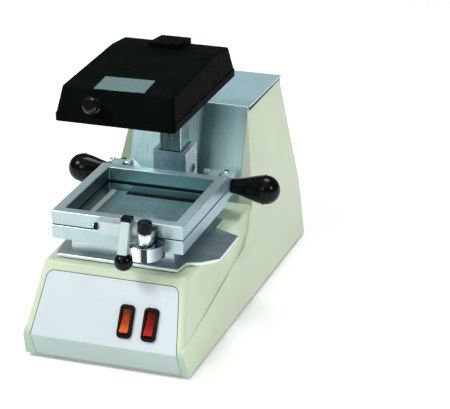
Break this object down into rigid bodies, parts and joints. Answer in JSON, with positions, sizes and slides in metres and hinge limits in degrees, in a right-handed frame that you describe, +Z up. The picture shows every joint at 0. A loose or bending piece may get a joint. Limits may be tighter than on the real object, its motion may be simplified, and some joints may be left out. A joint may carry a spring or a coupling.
{
  "type": "dental vacuum former",
  "caption": "Bench thermoforming machine: swing heater hood on a column, sliding hinged sheet frame with toggle latch, perforated platen and blower in a sloped base.",
  "frame": {"origin": "on the bench, under the middle of the whole machine", "axes": "+X to the operator's right, +Y to the rear, +Z up"},
  "size_m": [0.2388, 0.4086, 0.2869],
  "materials": {
    "cream_paint": "satin enamel",
    "panel_silver": "satin anodised sheet",
    "stainless": "brushed",
    "plate_blue_grey": "satin",
    "frame_metal": "machined, fine satin",
    "chrome": "polished",
    "steel": "machined",
    "zinc": "zinc plated",
    "sheet_steel": "grey paint",
    "black_hood": "fine textured, semi-gloss",
    "black_phenolic": "glossy",
    "black_plastic": "satin",
    "lens_amber": "translucent lens",
    "lens_red": "translucent lens",
    "rubber": "matte",
    "brass": "plain",
    "ceramic": "matte",
    "element": "oxidised",
    "label_silver": "satin foil",
    "duct_grey": "matte"
  },
  "bodies": {
    "base": {"housing_shell": "cream_paint", "front_panel": "panel_silver", "tower_cover": "stainless", "base_plate": "sheet_steel", "rubber_feet": "rubber", "base_screws": "zinc", "rear_screws": "zinc", "column": "steel", "column_foot": "sheet_steel", "floor_bolts": "zinc", "port_gasket": "rubber", "vacuum_duct": "duct_grey", "blower_housing": "frame_metal", "motor_body": "sheet_steel", "motor_bracket": "sheet_steel", "isolator_bushings": "rubber", "power_inlet": "black_plastic", "inlet_pins": "brass", "fuse_holder": "black_plastic", "switch_bezels": "black_plastic", "switch_terminals": "brass", "swivel_spigot": "steel"},
    "blower_rotor": {"impeller": "frame_metal", "motor_shaft": "steel"},
    "rocker_left": {"rocker_left": "lens_amber"},
    "rocker_right": {"rocker_right": "lens_red"},
    "platen": {"winged_plate": "plate_blue_grey", "platen_block": "stainless", "platen_screws": "zinc"},
    "carriage": {"carriage_block": "chrome", "slide_bushing": "black_plastic", "friction_plunger": "steel", "carriage_crossbar": "frame_metal", "crossbar_screws": "black_plastic", "hinge_pins": "steel", "lower_frame": "frame_metal", "lower_gasket": "rubber", "clamp_lug": "chrome", "catch_pin": "chrome", "grip_left": "black_phenolic", "grip_right": "black_phenolic", "grip_studs": "steel"},
    "upper_frame": {"upper_frame": "frame_metal", "latch_bracket": "chrome", "latch_pivot_pin": "steel", "adjuster_tongue": "chrome"},
    "latch_lever": {"latch_lever": "chrome", "latch_ball": "black_phenolic"},
    "gap_adjuster": {"adjuster_screw": "steel", "adjuster_knob": "black_phenolic"},
    "heater_hood": {"hood_shell": "black_hood", "hood_hub": "steel", "hood_screws": "zinc", "hood_cap": "black_hood", "hood_label": "label_silver", "hood_knob": "black_phenolic", "reflector": "stainless", "heating_element": "element", "element_insulators": "ceramic", "heater_guard": "steel"}
  },
  "joints": [
    {"name": "carriage_slide", "type": "slide", "parent": "base", "child": "carriage", "axis": [0, 0, 1], "range_m": [-0.016, 0.075]},
    {"name": "frame_hinge", "type": "hinge", "parent": "carriage", "child": "upper_frame", "pos_m": [0, -0.00933, 0.1452], "axis": [1, 0, 0], "range_deg": [-26, 0]},
    {"name": "latch_swing", "type": "hinge", "parent": "upper_frame", "child": "latch_lever", "pos_m": [0.017, -0.16833, 0.144], "axis": [1, 0, 0], "range_deg": [-60, 8]},
    {"name": "gap_adjust", "type": "hinge", "parent": "upper_frame", "child": "gap_adjuster", "pos_m": [0.037, -0.17733, 0.145], "axis": [0, 0, 1], "range_deg": [-180, 180]},
    {"name": "rocker_left_tilt", "type": "hinge", "parent": "base", "child": "rocker_left", "pos_m": [0.0208, -0.18854, 0.05161], "axis": [1, 0, 0], "range_deg": [0, 14]},
    {"name": "rocker_right_tilt", "type": "hinge", "parent": "base", "child": "rocker_right", "pos_m": [0.0463, -0.18854, 0.05161], "axis": [1, 0, 0], "range_deg": [0, 14]},
    {"name": "heater_swing", "type": "hinge", "parent": "base", "child": "heater_hood", "pos_m": [0, 0.01167, 0.26], "axis": [0, 0, 1], "range_deg": [0, 90]},
    {"name": "platen_lift", "type": "slide", "parent": "base", "child": "platen", "axis": [0, 0, 1], "range_m": [0, 0.015]},
    {"name": "blower_spin", "type": "hinge", "parent": "base", "child": "blower_rotor", "pos_m": [0, 0.11567, 0.045], "axis": [0, 0, 1], "continuous": true}
  ]
}
